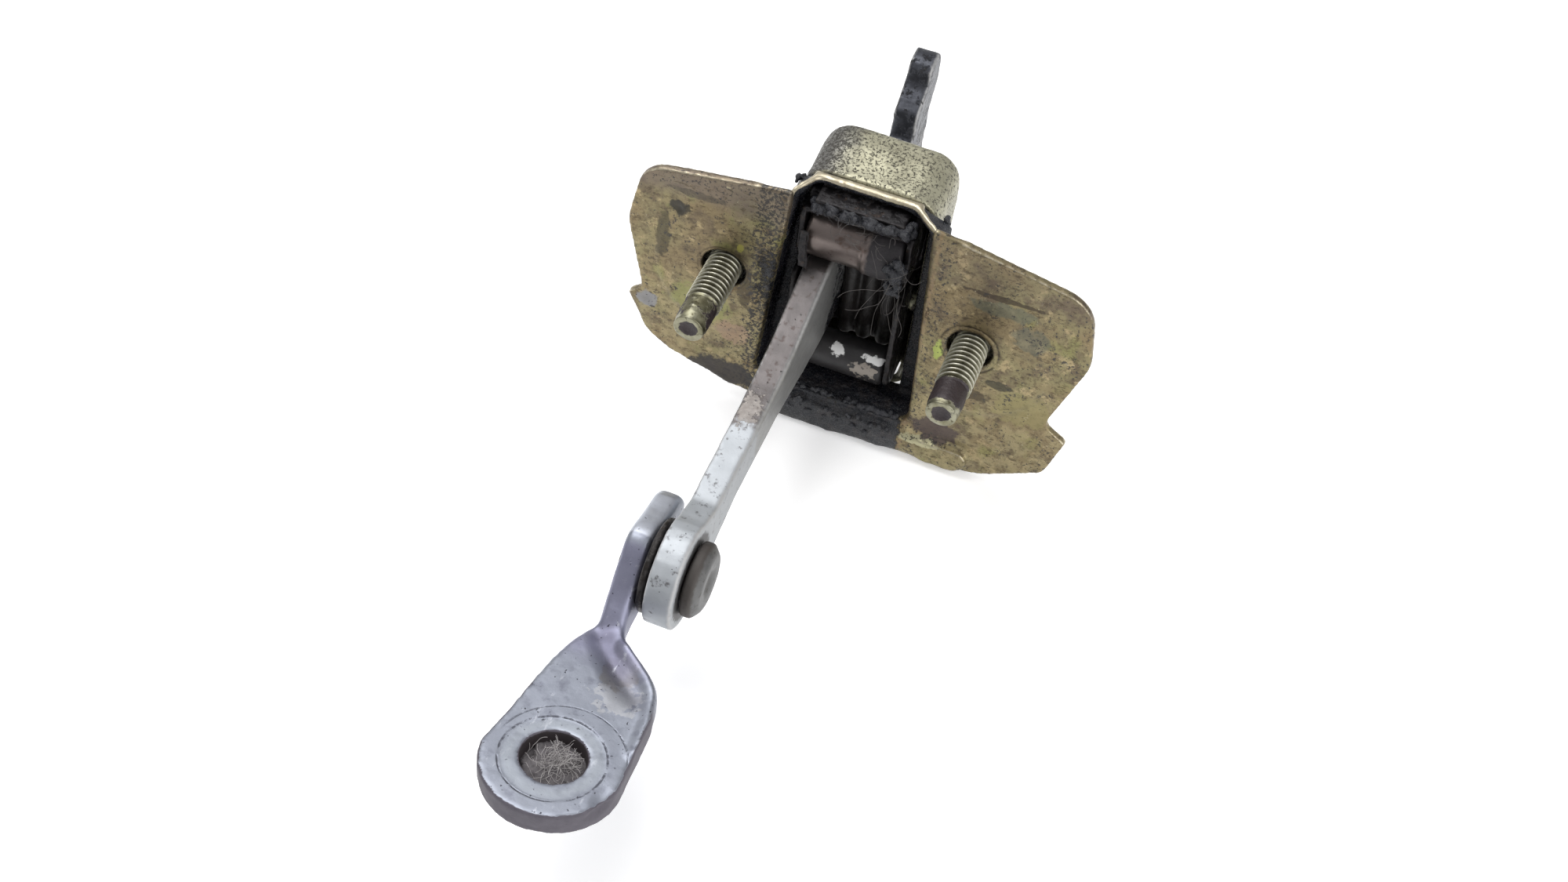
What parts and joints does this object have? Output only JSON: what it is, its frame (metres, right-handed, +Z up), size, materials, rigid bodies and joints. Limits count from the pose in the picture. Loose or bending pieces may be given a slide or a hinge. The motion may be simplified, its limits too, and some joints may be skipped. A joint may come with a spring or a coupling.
{
  "type": "door check strap",
  "caption": "Vehicle door check: a two-stud plate and cup hold spring-loaded rollers that grip a sliding arm with a hook stop and a riveted, twisted pillar bracket.",
  "frame": {"origin": "midway between the two stud centres, on the plate's front face", "axes": "+X along the stud line from the arm's side, +Y back into the door through the cup, +Z up, away from the pocket's shelf"},
  "size_m": [0.0785, 0.1657, 0.051],
  "materials": {
    "yellow_zinc": "yellow-passivated zinc plate, worn and greasy",
    "pale_zinc": "pale yellow-green zinc plate with dark speckle",
    "bright_zinc": "bright zinc plate",
    "dark_steel": "dark steel under grease",
    "roller_steel": "polished brown steel",
    "spring_steel": "blued spring steel",
    "arm_steel": "worn zinc plate, grey, with pits",
    "bracket_zinc": "satin blue-grey zinc plate",
    "buffer_rubber": "matt black rubber",
    "nylon": "dark moulded nylon"
  },
  "bodies": {
    "housing": {"mounting_plate": "yellow_zinc", "stud_carrier": "pale_zinc", "left_stud": "bright_zinc", "right_stud": "bright_zinc", "housing_cup": "pale_zinc", "rear_buffer": "buffer_rubber", "buffer_plate": "dark_steel", "left_trunnion": "bright_zinc", "right_trunnion": "bright_zinc"},
    "cage": {"roller_cage": "dark_steel", "arm_guide": "nylon", "lower_pin": "bright_zinc", "leaf_spring": "spring_steel"},
    "lower_roller_body": {"lower_roller": "roller_steel"},
    "carrier": {"upper_carrier": "dark_steel", "upper_pin": "bright_zinc"},
    "upper_roller_body": {"upper_roller": "roller_steel"},
    "arm": {"check_arm": "arm_steel", "pivot_rivet": "bracket_zinc", "spacer_washer": "dark_steel"},
    "bracket": {"pillar_bracket": "bracket_zinc"}
  },
  "joints": [
    {"name": "cage_swing", "type": "hinge", "parent": "housing", "child": "cage", "pos_m": [0, 0.012, -0.00515], "axis": [1, 0, 0], "range_deg": [-4, 4]},
    {"name": "carrier_lift", "type": "slide", "parent": "cage", "child": "carrier", "axis": [0, 0, 1], "range_m": [0, 0.0009], "stiffness_N_per_m": 5000, "springref_m": -0.01, "deforming": ["leaf_spring"]},
    {"name": "arm_slide", "type": "slide", "parent": "cage", "child": "arm", "axis": [0, 1, 0], "range_m": [-0.0222, 0.038]},
    {"name": "upper_roller_spin", "type": "hinge", "parent": "carrier", "child": "upper_roller_body", "pos_m": [0, 0.007, 0.0085], "axis": [1, 0, 0], "continuous": true},
    {"name": "lower_roller_spin", "type": "hinge", "parent": "cage", "child": "lower_roller_body", "pos_m": [0, 0.007, -0.0176], "axis": [1, 0, 0], "continuous": true},
    {"name": "bracket_pivot", "type": "hinge", "parent": "arm", "child": "bracket", "pos_m": [0, -0.0544, -0.009], "axis": [1, 0, 0], "range_deg": [-60, 60]}
  ],
  "couplings": [
    {"joint": "upper_roller_spin", "follows": "arm_slide", "rad_per_m": 217.39},
    {"joint": "lower_roller_spin", "follows": "arm_slide", "rad_per_m": -294.12}
  ]
}
